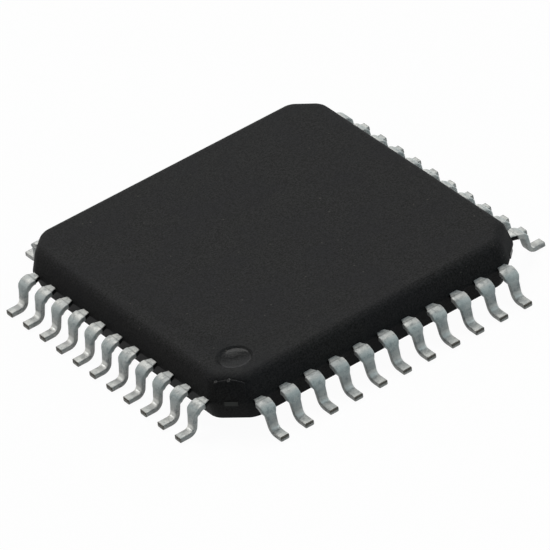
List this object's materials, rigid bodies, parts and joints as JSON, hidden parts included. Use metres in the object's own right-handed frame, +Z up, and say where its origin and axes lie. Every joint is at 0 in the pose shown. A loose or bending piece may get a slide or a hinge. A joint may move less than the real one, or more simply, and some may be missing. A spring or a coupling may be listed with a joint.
{
  "type": "quad flat package interface chip",
  "caption": "Square black moulded surface-mount chip with gull-wing leads along every side, a pin-one dimple, and the die, paddle and bond wires inside, for a telecom line interface.",
  "frame": {"origin": "middle of the package on the seating plane, which the soles of the leads lie on", "axes": "+Z up out of the marked top face; pin 1 is the first lead of the -Y side, next to the -X, -Y corner, and pins count anticlockwise seen from above"},
  "size_m": [0.012, 0.012, 0.0015],
  "materials": {
    "mould_compound": "black filled epoxy, fine matte mould texture",
    "tin_plated_lead": "matte tin plate on copper alloy",
    "lead_frame_copper": "bare rolled copper alloy",
    "die_adhesive": "cured silver-filled epoxy",
    "silicon": "polished silicon",
    "gold_wire": "drawn gold wire"
  },
  "bodies": {
    "root": {"moulded_body": "mould_compound", "die_pad": "lead_frame_copper", "die_adhesive": "die_adhesive", "die": "silicon", "bond_wires": "gold_wire", "lead_01": "tin_plated_lead", "lead_02": "tin_plated_lead", "lead_03": "tin_plated_lead", "lead_04": "tin_plated_lead", "lead_05": "tin_plated_lead", "lead_06": "tin_plated_lead", "lead_07": "tin_plated_lead", "lead_08": "tin_plated_lead", "lead_09": "tin_plated_lead", "lead_10": "tin_plated_lead", "lead_11": "tin_plated_lead", "lead_12": "tin_plated_lead", "lead_13": "tin_plated_lead", "lead_14": "tin_plated_lead", "lead_15": "tin_plated_lead", "lead_16": "tin_plated_lead", "lead_17": "tin_plated_lead", "lead_18": "tin_plated_lead", "lead_19": "tin_plated_lead", "lead_20": "tin_plated_lead", "lead_21": "tin_plated_lead", "lead_22": "tin_plated_lead", "lead_23": "tin_plated_lead", "lead_24": "tin_plated_lead", "lead_25": "tin_plated_lead", "lead_26": "tin_plated_lead", "lead_27": "tin_plated_lead", "lead_28": "tin_plated_lead", "lead_29": "tin_plated_lead", "lead_30": "tin_plated_lead", "lead_31": "tin_plated_lead", "lead_32": "tin_plated_lead", "lead_33": "tin_plated_lead", "lead_34": "tin_plated_lead", "lead_35": "tin_plated_lead", "lead_36": "tin_plated_lead", "lead_37": "tin_plated_lead", "lead_38": "tin_plated_lead", "lead_39": "tin_plated_lead", "lead_40": "tin_plated_lead", "lead_41": "tin_plated_lead", "lead_42": "tin_plated_lead", "lead_43": "tin_plated_lead", "lead_44": "tin_plated_lead"}
  },
  "joints": []
}
